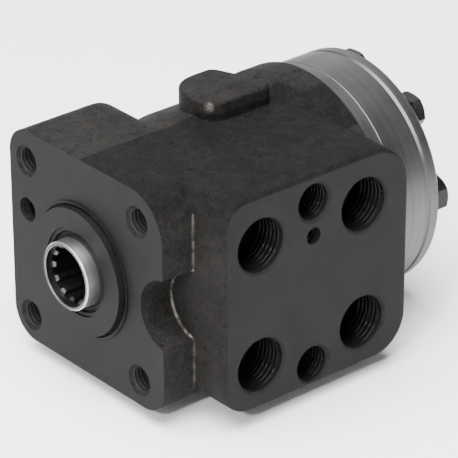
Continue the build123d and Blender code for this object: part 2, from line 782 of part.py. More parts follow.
write(centring_springs.part, "centring_springs")

# Slit ring that keeps the leaves in the sleeve
with BuildPart() as spring_ring:
    revolve(disc_profile(spring_groove_radius + 0.02, spring_groove_radius + 0.02 + spring_ring_thickness,
                         spring_slot_y - spring_ring_width / 2, spring_slot_y + spring_ring_width / 2),
            axis=Axis.Y)
    with Locations((0, spring_slot_y, sleeve_radius)):
        Box(spring_ring_slit, 2 * spring_ring_width, 4 * spring_ring_thickness, mode=Mode.SUBTRACT)

write(spring_ring.part, "spring_ring")

# Thrust bearing: fixed race, caged needles and the race that turns with the sleeve
with BuildPart() as bearing_outer_race:
    revolve(disc_profile(neck_radius + 0.6, sleeve_radius - race_edge, front_wall, front_wall + race_thickness),
            axis=Axis.Y)

write(bearing_outer_race.part, "bearing_outer_race")

needle_length = needle_outer - needle_inner
with BuildPart() as bearing_cage:
    revolve(disc_profile(needle_inner - 0.9, needle_outer + 0.9, needle_y - cage_thickness / 2,
                         needle_y + cage_thickness / 2), axis=Axis.Y)
    with BuildSketch(Plane.XZ.offset(-(needle_y - cage_thickness))):
        with PolarLocations((needle_inner + needle_outer) / 2, needle_count,
                            start_angle=180 / needle_count):
            Rectangle(needle_length + 0.1, 2 * needle_radius + 0.1)
    extrude(amount=-2 * cage_thickness, mode=Mode.SUBTRACT)

write(bearing_cage.part, "bearing_cage")

with BuildPart() as bearing_needles:
    with BuildSketch(*radial_planes(needle_y, needle_count, needle_inner)):
        Circle(needle_radius)
    extrude(amount=needle_length)

write(bearing_needles.part, "bearing_needles")

with BuildPart() as bearing_inner_race:
    revolve(disc_profile(neck_radius + 0.35, sleeve_radius - race_edge, inner_race_start,
                         inner_race_start + inner_race_thickness), axis=Axis.Y)

write(bearing_inner_race.part, "bearing_inner_race")

# Drive shaft: fork over the cross pin, neck, and a crowned splined head in the star.
# It leans from the pin to the star's centre. Lengths run along it from the pin's centre.
lean = radians(shaft_tilt)
shaft_side = Plane(origin=(0, pin_y, 0), x_dir=(cos(lean), sin(lean), 0), z_dir=(0, 0, 1))
shaft_axis = Axis((0, pin_y, 0), (-sin(lean), cos(lean), 0))
head_middle = hypot(eccentricity, star_head_y - pin_y)
head_start = head_middle - shaft_spline_length / 2
head_end = head_middle + shaft_spline_length / 2
fork_start = shaft_head_front - pin_y
fork_end = shaft_head_rear - pin_y
crown_edge = shaft_spline_tip_radius - shaft_spline_crown
with BuildPart() as spline_head:
    with BuildSketch(shaft_side):
        with BuildLine():
            Line((0, head_start), (crown_edge, head_start))
            ThreePointArc((crown_edge, head_start), (shaft_spline_tip_radius, head_middle), (crown_edge, head_end))
            Line((crown_edge, head_end), (0, head_end))
            Line((0, head_end), (0, head_start))
        make_face()
    revolve(axis=shaft_axis)
    head_plane = Plane(origin=shaft_axis.position + shaft_axis.direction * (head_start - 1), x_dir=(0, 0, 1),
                       z_dir=shaft_axis.direction)
    with BuildSketch(head_plane):
        Circle(shaft_spline_root_radius)
        with PolarLocations(shaft_spline_tip_radius / 2, spline_teeth):
            Rectangle(shaft_spline_tip_radius + 2, shaft_spline_tooth_width)
    extrude(amount=shaft_spline_length + 2, mode=Mode.INTERSECT)

with BuildPart() as drive_shaft:
    revolve(turned_profile((0, fork_start), (shaft_head_radius - 1.0, fork_start),
                           (shaft_head_radius, fork_start + 1.0), (shaft_head_radius, fork_end - 1.5),
                           (shaft_neck_radius, fork_end + 2.5), (shaft_neck_radius, head_start + 1.0),
                           (0, head_start + 1.0), plane=shaft_side), axis=shaft_axis)
    fork_slot = pin_radius + shaft_fork_end_gap - fork_start + 1
    with BuildSketch(shaft_side):
        with Locations((0, fork_start - 1 + fork_slot / 2)):
            Rectangle(2 * (pin_radius + shaft_fork_clearance), fork_slot)
    extrude(amount=2 * shaft_head_radius, both=True, mode=Mode.SUBTRACT)
    add(spline_head.part)

write(drive_shaft.part, "drive_shaft")

# Spacer disc between drive shaft and cover, in the star's bore
with BuildPart() as spacer_disc:
    extrude(circle_at(spacer_radius, -eccentricity, ring_rear - 0.05 - spacer_thickness, 0),
            amount=-spacer_thickness)
    chamfer(spacer_disc.edges(), length=0.3)

write(spacer_disc.part, "spacer_disc")

# Check valve: bushing with the seat, and the ball behind it
with BuildPart() as check_valve_bushing:
    extrude(circle_on_port_plane(check_bushing_radius - pin_clearance, check_seat_x, check_y, -port_z),
            amount=check_bushing_length)
    extrude(circle_on_port_plane(check_bushing_bore_radius, check_seat_x, check_y, -port_z),
            amount=check_bushing_length, mode=Mode.SUBTRACT)
    chamfer(check_valve_bushing.faces().sort_by(Axis.X)[-1].edges(), length=0.4)

write(check_valve_bushing.part, "check_valve_bushing")

with BuildPart() as check_valve_ball:
    with Locations((check_ball_x, check_y, -port_z)):
        Sphere(check_ball_radius)

write(check_valve_ball.part, "check_valve_ball")

# Relief valve: seat, poppet, spring, adjuster, seal and plug, from the inside out
relief_plane = Plane(origin=(relief_x, 0, relief_z))
relief_axis = Axis((relief_x, 0, relief_z), (0, 1, 0))
relief_outer = relief_bore_radius - thread_clearance
with BuildPart() as relief_seat:
    revolve(turned_profile((relief_seat_bore_radius, relief_seat_start), (relief_outer - 0.4, relief_seat_start),
                           (relief_outer, relief_seat_start + 0.4), (relief_outer, relief_seat_end),
                           (relief_seat_bore_radius, relief_seat_end), plane=relief_plane), axis=relief_axis)

write(relief_seat.part, "relief_seat")

cone_end = relief_cone_start + relief_poppet_radius - relief_poppet_tip_radius
with BuildPart() as relief_poppet:
    revolve(turned_profile((0, relief_poppet_start - relief_spigot_length),
                           (relief_spigot_radius, relief_poppet_start - relief_spigot_length),
                           (relief_spigot_radius, relief_poppet_start),
                           (relief_poppet_radius, relief_poppet_start),
                           (relief_poppet_radius, relief_cone_start),
                           (relief_poppet_tip_radius, cone_end), (0, cone_end), plane=relief_plane),
            axis=relief_axis)

write(relief_poppet.part, "relief_poppet")

spring_margin = relief_spring_wire + seat_clearance
spring_height = relief_spring_length - 2 * spring_margin
with BuildPart() as relief_spring:
    with BuildLine() as spring_path:
        Helix(spring_height / relief_spring_turns, spring_height, relief_spring_radius,
              center=(relief_x, relief_spring_start + spring_margin, relief_z), direction=(0, 1, 0))
    with BuildSketch(Plane(origin=spring_path.line @ 0, z_dir=spring_path.line % 0)):
        Circle(relief_spring_wire)
    sweep()

write(relief_spring.part, "relief_spring")

with BuildPart() as relief_adjuster:
    revolve(turned_profile((0, relief_adjuster_start), (relief_outer, relief_adjuster_start),
                           (relief_outer, relief_spring_start), (relief_spigot_radius, relief_spring_start),
                           (relief_spigot_radius, relief_spring_start + relief_spigot_length),
                           (0, relief_spring_start + relief_spigot_length), plane=relief_plane),
            axis=relief_axis)
    with BuildSketch(Plane.XZ.offset(-relief_adjuster_start)):
        with Locations((relief_x, relief_z)):
            RegularPolygon(relief_key_flats / 2, 6, major_radius=False)
    extrude(amount=-relief_adjuster_length * 0.7, mode=Mode.SUBTRACT)

write(relief_adjuster.part, "relief_adjuster")

with BuildPart() as relief_plug_seal:
    revolve(turned_profile((relief_outer - 1.4, relief_seal_start), (relief_outer, relief_seal_start),
                           (relief_outer, relief_adjuster_start), (relief_outer - 1.4, relief_adjuster_start),
                           plane=relief_plane), axis=relief_axis)

write(relief_plug_seal.part, "relief_plug_seal")

with BuildPart() as relief_plug:
    revolve(turned_profile((0, relief_plug_start), (relief_outer - 0.5, relief_plug_start),
                           (relief_outer, relief_plug_start + 0.5), (relief_outer, relief_seal_start),
                           (0, relief_seal_start), plane=relief_plane), axis=relief_axis)
    with BuildSketch(Plane.XZ.offset(-relief_plug_start)):
        with Locations((relief_x, relief_z)):
            RegularPolygon(relief_key_flats / 2, 6, major_radius=False)
    extrude(amount=-relief_plug_length * 0.6, mode=Mode.SUBTRACT)

write(relief_plug.part, "relief_plug")

# Plug of the drilling in the port face
gallery_plug_start = port_face_x - gallery_plug_recess - gallery_plug_length
with BuildPart() as gallery_plug:
    extrude(circle_on_port_plane(gallery_radius - thread_clearance, gallery_plug_start, gallery_y, gallery_z),
            amount=gallery_plug_length)
    with BuildSketch(Plane.YZ.offset(gallery_plug_start + gallery_plug_length)):
        with Locations((gallery_y, gallery_z)):
            RegularPolygon(gallery_radius / 2, 6, major_radius=False)
    extrude(amount=-gallery_plug_length / 2, mode=Mode.SUBTRACT)

write(gallery_plug.part, "gallery_plug")
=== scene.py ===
import math

import bmesh
import bpy
import numpy as np
from mathutils import Matrix, Vector


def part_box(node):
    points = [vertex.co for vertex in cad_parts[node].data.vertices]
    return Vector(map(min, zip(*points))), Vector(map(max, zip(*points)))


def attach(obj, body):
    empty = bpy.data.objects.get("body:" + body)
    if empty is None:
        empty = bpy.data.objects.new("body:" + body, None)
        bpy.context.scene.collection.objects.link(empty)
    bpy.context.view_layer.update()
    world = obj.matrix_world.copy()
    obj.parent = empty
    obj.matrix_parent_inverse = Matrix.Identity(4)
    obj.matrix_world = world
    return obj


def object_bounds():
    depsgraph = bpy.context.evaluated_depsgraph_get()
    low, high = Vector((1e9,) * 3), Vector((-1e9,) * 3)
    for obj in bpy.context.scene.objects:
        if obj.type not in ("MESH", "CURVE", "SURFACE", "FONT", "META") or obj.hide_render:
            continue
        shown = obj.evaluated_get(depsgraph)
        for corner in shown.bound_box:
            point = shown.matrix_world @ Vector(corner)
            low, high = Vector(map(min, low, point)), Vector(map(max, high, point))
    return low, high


bl_info = {
    "name": "Orbital steering unit",
    "version": (1, 1, 0),
    "blender": (4, 5, 0),
    "location": "View3D > Sidebar > Steering",
    "description": "Dresses the orbital steering unit with threads, cast and machined finishes and a studio",
    "category": "Object",
}

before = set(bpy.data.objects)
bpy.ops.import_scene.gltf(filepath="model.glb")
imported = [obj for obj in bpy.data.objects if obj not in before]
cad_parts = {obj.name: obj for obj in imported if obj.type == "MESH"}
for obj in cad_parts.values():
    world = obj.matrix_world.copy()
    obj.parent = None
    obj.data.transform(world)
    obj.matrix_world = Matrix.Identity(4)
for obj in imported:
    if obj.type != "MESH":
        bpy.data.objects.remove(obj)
CAD_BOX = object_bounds()
MM = 0.001

# Holes of the port face: middle of the pattern and half its spread, and a radius just past the wall
PORT_Y = 50.9 * MM
PORT_SPREAD_Y = 22.2 * MM
PORT_SPREAD_Z = 22 * MM
PORT_WALL = 9.6 * MM
BLOCK_HOLE_Y = 51.3 * MM
BLOCK_HOLE_SPREAD_Z = 30.1 * MM
BLOCK_HOLE_WALL = 6.5 * MM
GALLERY_PLUG_Y = 50.8 * MM
GALLERY_PLUG_Z = 18.2 * MM
GALLERY_PLUG_WALL = 3.05 * MM

# Holes of the column flange, and the widest recess round the shaft, each just past its wall
COLUMN_HOLE_SPREAD = 29.19 * MM
COLUMN_HOLE_WALL = 4.6 * MM
SHAFT_RECESS_WALL = 15.7 * MM

# Limits of the machined faces, a little inside each face
COLUMN_FACE_Y = 0.1 * MM
REAR_FACE_Y = 95.8 * MM
PORT_FACE_X = 57.3 * MM

# The chamfers of the port face end at the first, and its holes end before the second
PORT_CHAMFER_X = 57.38 * MM
PORT_BLOCK_X = 40 * MM

# Column flange: its rear, its right side, and the round notch in that side
FLANGE_REAR_Y = 12.8 * MM
FLANGE_SIDE_X = 42.0 * MM
FLANGE_CORNER_Z = 33 * MM
NOTCH_X = 43.4 * MM
NOTCH_RADIUS = 12.8 * MM
NOTCH_END_Z = 12.4 * MM
NOTCH_END_X = 42.2 * MM
# Place of the painted glint on the pad's corner
PAD_CORNER = (5.1 * MM, 50.4 * MM, 45.4 * MM)


def hex_colour(text, alpha=1.0):
    """sRGB hex value to linear colour: each channel through the sRGB transfer curve."""
    values = [int(text[i:i + 2], 16) / 255 for i in (1, 3, 5)]
    linear = [v / 12.92 if v <= 0.04045 else ((v + 0.055) / 1.055) ** 2.4 for v in values]
    return (*linear, alpha)


class SteeringUnitSizes(bpy.types.PropertyGroup):
    """Sizes of the threads and of the surface patterns.

    The pitches are those of real threads. The ridges are lower, since the photograph hardly shows them.
    Sand grains (really 0.2 to 0.5 mm) and turning marks (0.1 to 0.2 mm) would be lost between the pixels of a
    picture, so both are drawn coarser than they are.
    """

    port_pitch: bpy.props.FloatProperty(
        name="Port thread pitch", description="Pitch of the G1/2 thread in the four ports",
        default=1.814 * MM, unit="LENGTH", precision=5)
    port_depth: bpy.props.FloatProperty(
        name="Port thread height", description="Height of the thread's ridge above the port's wall",
        default=0.18 * MM, unit="LENGTH", precision=5)
    block_pitch: bpy.props.FloatProperty(
        name="Block hole pitch", description="Pitch of the two threaded holes of the valve block",
        default=1.5 * MM, unit="LENGTH", precision=5)
    column_pitch: bpy.props.FloatProperty(
        name="Column hole pitch", description="Pitch of the four threaded holes of the column flange",
        default=1.5 * MM, unit="LENGTH", precision=5)
    metric_depth: bpy.props.FloatProperty(
        name="Metric thread height", description="Height of the ridge in the metric holes",
        default=0.14 * MM, unit="LENGTH", precision=5)
    sand_grain: bpy.props.FloatProperty(
        name="Sand grain", description="Grains of the sand mould in the cast skin, drawn coarser",
        default=0.8 * MM, unit="LENGTH", precision=5)
    lathe_line: bpy.props.FloatProperty(
        name="Lathe line", description="Distance between turning marks, drawn coarser",
        default=0.45 * MM, unit="LENGTH", precision=5)


class SteeringUnitColours(bpy.types.PropertyGroup):
    """Base colours of the finishes."""

    cast_skin: bpy.props.FloatVectorProperty(
        name="Cast skin", description="Phosphated grey iron as cast", subtype="COLOR", size=4,
        default=hex_colour("#181716"), min=0, max=1)
    machined_iron: bpy.props.FloatVectorProperty(
        name="Machined iron", description="Milled faces of the housing", subtype="COLOR", size=4,
        default=hex_colour("#1b1a19"), min=0, max=1)
    bore_iron: bpy.props.FloatVectorProperty(
        name="Oiled bore", description="Oiled walls of ports, block holes and shaft recess",
        subtype="COLOR", size=4,
        default=hex_colour("#1b1a19"), min=0, max=1)
    # Colour of the painted highlights on a few corners and edges of the housing
    painted_highlight_iron: bpy.props.FloatVectorProperty(
        name="Painted highlight", description="Fresh metal of rubbed corners", subtype="COLOR", size=4,
        default=hex_colour("#7d7b77"), min=0, max=1)
    ground_steel: bpy.props.FloatVectorProperty(
        name="Ground steel", description="Turned plates of the meter stack", subtype="COLOR", size=4,
        default=hex_colour("#5c5b5b"), min=0, max=1)
    spool_steel: bpy.props.FloatVectorProperty(
        name="Spool steel", description="Hardened and polished spool", subtype="COLOR", size=4,
        default=hex_colour("#b4b3b3"), min=0, max=1)
    polished_steel: bpy.props.FloatVectorProperty(
        name="Lapped steel", description="Cross pin and check valve ball", subtype="COLOR", size=4,
        default=hex_colour("#8a8a8c"), min=0, max=1)
    black_oxide: bpy.props.FloatVectorProperty(
        name="Black oxide", description="Blackened screws and washers", subtype="COLOR", size=4,
        default=hex_colour("#1a1a1b"), min=0, max=1)
    seal_rubber: bpy.props.FloatVectorProperty(
        name="Seal rubber", description="Nitrile rubber of wiper and seals", subtype="COLOR", size=4,
        default=hex_colour("#0b0b0c"), min=0, max=1)


def add_node(tree, kind, links=(), **settings):
    """Adds a node, gives it its settings, and sets or links each named or numbered input."""
    node = tree.nodes.new(kind)
    for name, value in settings.items():
        setattr(node, name, value)
    for name, value in dict(links).items():
        if isinstance(value, bpy.types.NodeSocket):
            tree.links.new(value, node.inputs[name])
        else:
            node.inputs[name].default_value = value
    return node


def new_material(name):
    """Empty node material with a principled surface. Returns the material, its tree and the surface node."""
    material = bpy.data.materials.new(name)
    material.use_nodes = True
    tree = material.node_tree
    return material, tree, tree.nodes["Principled BSDF"]


def dress(material, *names):
    """Gives a material to CAD nodes, in every slot that their objects have."""
    for name in names:
        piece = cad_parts[name]
        if not piece.material_slots:
            piece.data.materials.append(material)
        for material_slot in piece.material_slots:
            material_slot.material = material


def add_mesh(name, points, *faces):
    """New object at the origin from an array of points and one or more arrays of faces."""
    mesh = bpy.data.meshes.new(name)
    mesh.from_pydata(points.tolist(), [], [face for block in faces for face in block.tolist()])
    mesh.validate()
    piece = bpy.data.objects.new(name, mesh)
    bpy.context.scene.collection.objects.link(piece)
    return piece


def face_outwards(piece):
    """Turns every face of closed shells outwards and shades them smooth."""
    shell = bmesh.new()
    shell.from_mesh(piece.data)
    bmesh.ops.recalc_face_normals(shell, faces=shell.faces)
    shell.to_mesh(piece.data)
    shell.free()
    piece.data.polygons.foreach_set("use_smooth", np.ones(len(piece.data.polygons), dtype=bool))


def thread_ridges(name, holes, pitch, height, wall, depth, axis):
    """Ridges of internal threads, one coil in each hole.

    A rounded section is carried along a helix: turn angle t, distance pitch * t / 2 pi into the hole, and
    for each section point its rise from the wall and its shift along the hole, a half wave of the ridge's
    height. Its foot is sunk into the wall, gap_share of the pitch stays free on each side, and both ends run
    out into the wall.
    """
    steps_per_turn = 48
    sunk = 0.04 * MM
    gap_share = 0.04
    turns = depth / pitch - 1
    steps = int(turns * steps_per_turn)
    angle = np.linspace(0, turns * 2 * np.pi, steps + 1)
    run_out = np.clip(np.minimum(angle, angle[-1] - angle) / np.pi, 0.02, 1)
    wave = np.linspace(0, np.pi, 7)
    section_rise = np.concatenate([height * np.sin(wave), [-sunk, -sunk]])
    section_shift = np.concatenate(
        [gap_share + (1 - 2 * gap_share) * wave / np.pi, [1 - gap_share, gap_share]]) * pitch
    radius = wall - section_rise[None, :] * run_out[:, None]
    along = pitch * angle[:, None] / (2 * np.pi) + section_shift[None, :]
    across = radius * np.cos(angle)[:, None]
    up = radius * np.sin(angle)[:, None]
    count = section_rise.size
    start = np.arange(steps)[:, None] * count
    here = start + np.arange(count)[None, :]
    beside = start + (np.arange(count)[None, :] + 1) % count
    quads = np.stack([here, beside, beside + count, here + count], axis=-1).reshape(-1, 4)
    fan = np.stack([np.zeros(count - 2, int), np.arange(1, count - 1), np.arange(2, count)], axis=-1)
    all_points, all_faces = [], []
    for index, (mouth_x, mouth_y, mouth_z) in enumerate(holes):
        if axis == "X":
            points = np.stack([mouth_x - along, mouth_y + across, mouth_z + up], axis=-1)
        else:
            points = np.stack([mouth_x + across, mouth_y + along, mouth_z + up], axis=-1)
        first = index * (steps + 1) * count
        all_points.append(points.reshape(-1, 3))
        all_faces += [quads + first, fan + first, fan + first + steps * count]
    piece = add_mesh(name, np.vstack(all_points), *all_faces)
    face_outwards(piece)
    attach(piece, "housing_body")
    return piece


def hole_distance(tree, across, up):
    """Distance from a hole's axis, from two offsets square to it."""
    point = add_node(tree, "ShaderNodeCombineXYZ", {0: across, 1: up}).outputs[0]
    return add_node(tree, "ShaderNodeVectorMath", {0: point}, operation="LENGTH").outputs["Value"]


def folded_offset(tree, value, centre, spread=0.0):
    """Signed distance along one axis from the nearer of two places, centre - spread and centre + spread."""
    shifted = add_node(tree, "ShaderNodeMath", {0: value, 1: centre}, operation="SUBTRACT").outputs[0]
    folded = add_node(tree, "ShaderNodeMath", {0: shifted}, operation="ABSOLUTE").outputs[0]
    return add_node(tree, "ShaderNodeMath", {0: folded, 1: spread}, operation="SUBTRACT").outputs[0]


def side_hole_masks(tree, place):
    """Inside of the holes of the port face, and their chamfers, as two masks."""
    x, y, z = add_node(tree, "ShaderNodeSeparateXYZ", {0: place}).outputs
    # middle and half spread along y, the same along z, radius of the wall
    holes = (
        (PORT_Y, PORT_SPREAD_Y, 0, PORT_SPREAD_Z, PORT_WALL),
        (BLOCK_HOLE_Y, 0, 0, BLOCK_HOLE_SPREAD_Z, BLOCK_HOLE_WALL),
        (GALLERY_PLUG_Y, 0, GALLERY_PLUG_Z, 0, GALLERY_PLUG_WALL),
    )
    nearest = None
    for middle_y, spread_y, middle_z, spread_z, wall in holes:
        across = folded_offset(tree, y, middle_y, spread_y)
        up = folded_offset(tree, z, middle_z, spread_z)
        gap = add_node(tree, "ShaderNodeMath", {0: hole_distance(tree, across, up), 1: wall},
                       operation="SUBTRACT").outputs[0]
        if nearest is not None:
            gap = add_node(tree, "ShaderNodeMath", {0: nearest, 1: gap}, operation="MINIMUM").outputs[0]
        nearest = gap
    on_side = add_node(tree, "ShaderNodeMath", {0: x, 1: PORT_BLOCK_X}, operation="GREATER_THAN").outputs[0]
    off_face = add_node(tree, "ShaderNodeMath", {0: x, 1: PORT_CHAMFER_X}, operation="LESS_THAN").outputs[0]
    in_side = add_node(tree, "ShaderNodeMath", {0: nearest, 1: 0.0}, operation="LESS_THAN").outputs[0]
    in_side = add_node(tree, "ShaderNodeMath", {0: in_side, 1: on_side}, operation="MULTIPLY").outputs[0]
    rim = add_node(tree, "ShaderNodeMath", {0: nearest, 1: 1.0 * MM}, operation="LESS_THAN").outputs[0]
    for limit in (on_side, off_face):
        rim = add_node(tree, "ShaderNodeMath", {0: rim, 1: limit}, operation="MULTIPLY").outputs[0]
    return in_side, rim


def painted_highlight_mask(tree, place, wobble):
    """Painted highlights: a bright line beside the column flange's right side, one along the rear edge of its
    notch, and a glint on the pad's corner.

    Each is a distance from a line or a point, turned to a mask that fades over less than 1 mm, or 2 mm at the
    pad. The largest of the three counts, broken up by wobble.
    """
    x, y, z = add_node(tree, "ShaderNodeSeparateXYZ", {0: place}).outputs
    from_rear = add_node(tree, "ShaderNodeMath", {0: y, 1: FLANGE_REAR_Y}, operation="SUBTRACT").outputs[0]
    from_side = add_node(tree, "ShaderNodeMath", {0: x, 1: FLANGE_SIDE_X}, operation="SUBTRACT").outputs[0]
    side_line = hole_distance(tree, from_side, from_rear)
    notch_x = add_node(tree, "ShaderNodeMath", {0: x, 1: NOTCH_X}, operation="SUBTRACT").outputs[0]
    notch = hole_distance(tree, notch_x, z)
    notch = add_node(tree, "ShaderNodeMath", {0: notch, 1: NOTCH_RADIUS}, operation="SUBTRACT").outputs[0]
    notch_line = hole_distance(tree, notch, from_rear)
    # The side's line runs from the notch to the corner's rounding, the notch's line ends at the side
    high = add_node(tree, "ShaderNodeMath", {0: z}, operation="ABSOLUTE").outputs[0]
    beside = add_node(tree, "ShaderNodeMath", {0: high, 1: NOTCH_END_Z}, operation="GREATER_THAN").outputs[0]
    below = add_node(tree, "ShaderNodeMath", {0: high, 1: FLANGE_CORNER_Z}, operation="LESS_THAN").outputs[0]
    beside = add_node(tree, "ShaderNodeMath", {0: beside, 1: below}, operation="MULTIPLY").outputs[0]
    left = add_node(tree, "ShaderNodeMath", {0: x, 1: NOTCH_END_X}, operation="LESS_THAN").outputs[0]
    side = add_node(tree, "ShaderNodeMapRange", {
        "Value": side_line, "From Min": 0.1 * MM, "From Max": 0.9 * MM,
        "To Min": 1.0, "To Max": 0.0}).outputs[0]
    for factor in (beside, 0.3):
        side = add_node(tree, "ShaderNodeMath", {0: side, 1: factor}, operation="MULTIPLY").outputs[0]
    curve = add_node(tree, "ShaderNodeMapRange", {
        "Value": notch_line, "From Min": 0.2 * MM, "From Max": 0.9 * MM,
        "To Min": 1.0, "To Max": 0.0}).outputs[0]
    curve = add_node(tree, "ShaderNodeMath", {0: curve, 1: left}, operation="MULTIPLY").outputs[0]
    spot = add_node(tree, "ShaderNodeVectorMath", {0: place, 1: PAD_CORNER},
                    operation="DISTANCE").outputs["Value"]
    spot = add_node(tree, "ShaderNodeMapRange", {
        "Value": spot, "From Min": 0.2 * MM, "From Max": 2.2 * MM, "To Min": 0.6, "To Max": 0.0}).outputs[0]
    painted_highlight = side
    for mask in (curve, spot):
        painted_highlight = add_node(tree, "ShaderNodeMath", {0: painted_highlight, 1: mask}, operation="MAXIMUM").outputs[0]
    return add_node(tree, "ShaderNodeMath", {0: painted_highlight, 1: wobble}, operation="MULTIPLY").outputs[0]


def housing_material(colours, sizes):
    """Grey cast iron: a sand-rough phosphated skin, milled faces, oiled bores, painted highlights on a few
    corners and painted light and shade on the top and the column face.

    It gives the eye a dark, faintly mottled and matt body, on which the machined faces look flat and even.
    """
    chamfer_iron = hex_colour("#232221")
    column_bore_iron = hex_colour("#262524")
    material, tree, surface = new_material("Grey iron, sand cast and milled, phosphated")
    place = add_node(tree, "ShaderNodeTexCoord").outputs["Object"]
    x, y, z = add_node(tree, "ShaderNodeSeparateXYZ", {0: place}).outputs
    in_side, rim = side_hole_masks(tree, place)
    column = hole_distance(tree, folded_offset(tree, x, 0, COLUMN_HOLE_SPREAD),
                           folded_offset(tree, z, 0, COLUMN_HOLE_SPREAD))
    shaft = hole_distance(tree, x, z)
    in_column = add_node(tree, "ShaderNodeMath", {0: column, 1: COLUMN_HOLE_WALL},
                         operation="LESS_THAN").outputs[0]
    in_shaft = add_node(tree, "ShaderNodeMath", {0: shaft, 1: SHAFT_RECESS_WALL},
                        operation="LESS_THAN").outputs[0]
    inside = in_column
    for mask in (in_shaft, in_side):
        inside = add_node(tree, "ShaderNodeMath", {0: inside, 1: mask}, operation="MAXIMUM").outputs[0]
    # Milled or turned faces: the column face with its boss, the port face and the rear face
    face_front = add_node(tree, "ShaderNodeMath", {0: y, 1: COLUMN_FACE_Y}, operation="LESS_THAN").outputs[0]
    face_side = add_node(tree, "ShaderNodeMath", {0: x, 1: PORT_FACE_X}, operation="GREATER_THAN").outputs[0]
    face_rear = add_node(tree, "ShaderNodeMath", {0: y, 1: REAR_FACE_Y}, operation="GREATER_THAN").outputs[0]
    milled = face_front
    for mask in (face_side, face_rear):
        milled = add_node(tree, "ShaderNodeMath", {0: milled, 1: mask}, operation="MAXIMUM").outputs[0]
    # Cast skin: clouds of 12 mm, patches of 3 mm, sand grain, and pits about 6 mm apart
    cloud = add_node(tree, "ShaderNodeTexNoise", {"Vector": place, "Scale": 1 / (12 * MM), "Detail": 5.0,
                                                 "Roughness": 0.6}).outputs[0]
    patch = add_node(tree, "ShaderNodeTexNoise", {"Vector": place, "Scale": 1 / (3 * MM), "Detail": 4.0,
                                                 "Roughness": 0.65}).outputs[0]
    grain = add_node(tree, "ShaderNodeTexNoise", {
        "Vector": place, "Scale": 1 / sizes.sand_grain, "Detail": 4.0, "Roughness": 0.7}).outputs[0]
    pits = add_node(tree, "ShaderNodeTexVoronoi", {"Vector": place, "Scale": 1 / (6 * MM),
                                                  "Randomness": 1.0}).outputs["Distance"]
    pits = add_node(tree, "ShaderNodeMapRange", {"Value": pits, "From Min": 0.04, "From Max": 0.13,
                                                "To Min": 0.0, "To Max": 1.0}).outputs[0]
    # Painted light: the mould's parting line runs along the top; its left half is smoother and painted
    # lighter than the right, as though its draft faced the lamps, and a painted shade runs along the crease
    parting = add_node(tree, "ShaderNodeMath", {0: patch, 1: 3 * MM, 2: x},
                       operation="MULTIPLY_ADD").outputs[0]
    left_half = add_node(tree, "ShaderNodeMapRange", {
        "Value": parting, "From Min": 0.6 * MM, "From Max": 1.4 * MM,
        "To Min": 1.0, "To Max": 0.0}).outputs[0]
    line = add_node(tree, "ShaderNodeMath", {0: parting, 1: 1.2 * MM}, operation="SUBTRACT").outputs[0]
    line = add_node(tree, "ShaderNodeMath", {0: line}, operation="ABSOLUTE").outputs[0]
    line = add_node(tree, "ShaderNodeMapRange", {"Value": line, "From Min": 0.1 * MM, "From Max": 0.7 * MM,
                                                "To Min": 1.0, "To Max": 0.0}).outputs[0]
    shade = add_node(tree, "ShaderNodeMapRange", {"Value": cloud, "From Min": 0.3, "From Max": 0.7,
                                                 "To Min": 0.8, "To Max": 1.14}).outputs[0]
    patch_shade = add_node(tree, "ShaderNodeMapRange", {"Value": patch, "From Min": 0.3, "From Max": 0.7,
                                                       "To Min": 0.72, "To Max": 1.24}).outputs[0]
    speck = add_node(tree, "ShaderNodeMapRange", {"Value": grain, "From Min": 0.3, "From Max": 0.7,
                                                 "To Min": 0.5, "To Max": 1.55}).outputs[0]
    # Painted light: the pad and the flanks below the top are painted as light as the left half,
    # and the right half of the top darker
    low = add_node(tree, "ShaderNodeMapRange", {
        "Value": z, "From Min": 27 * MM, "From Max": 37 * MM, "To Min": 1.0, "To Max": 0.0}).outputs[0]
    pad = add_node(tree, "ShaderNodeMapRange", {
        "Value": z, "From Min": 42.6 * MM, "From Max": 43.4 * MM}).outputs[0]
    light = add_node(tree, "ShaderNodeMath", {0: left_half, 1: pad}, operation="MAXIMUM").outputs[0]
    light = add_node(tree, "ShaderNodeMath", {0: light, 1: low}, operation="MAXIMUM").outputs[0]
    painted_side_light = add_node(tree, "ShaderNodeMapRange", {
        "Value": light, "To Min": 0.8, "To Max": 1.5}).outputs[0]
    # Painted shade along the crease of the parting line
    painted_crease_shade = add_node(tree, "ShaderNodeMapRange", {
        "Value": line, "To Min": 1.0, "To Max": 0.75}).outputs[0]
    pit_shade = add_node(tree, "ShaderNodeMapRange", {
        "Value": pits, "To Min": 0.45, "To Max": 1.0}).outputs[0]
    for factor in (patch_shade, speck, painted_side_light, painted_crease_shade, pit_shade):
        shade = add_node(tree, "ShaderNodeMath", {0: shade, 1: factor}, operation="MULTIPLY").outputs[0]
    skin = add_node(tree, "ShaderNodeVectorMath", {0: tuple(colours.cast_skin)[:3], "Scale": shade},
                    operation="SCALE").outputs[0]
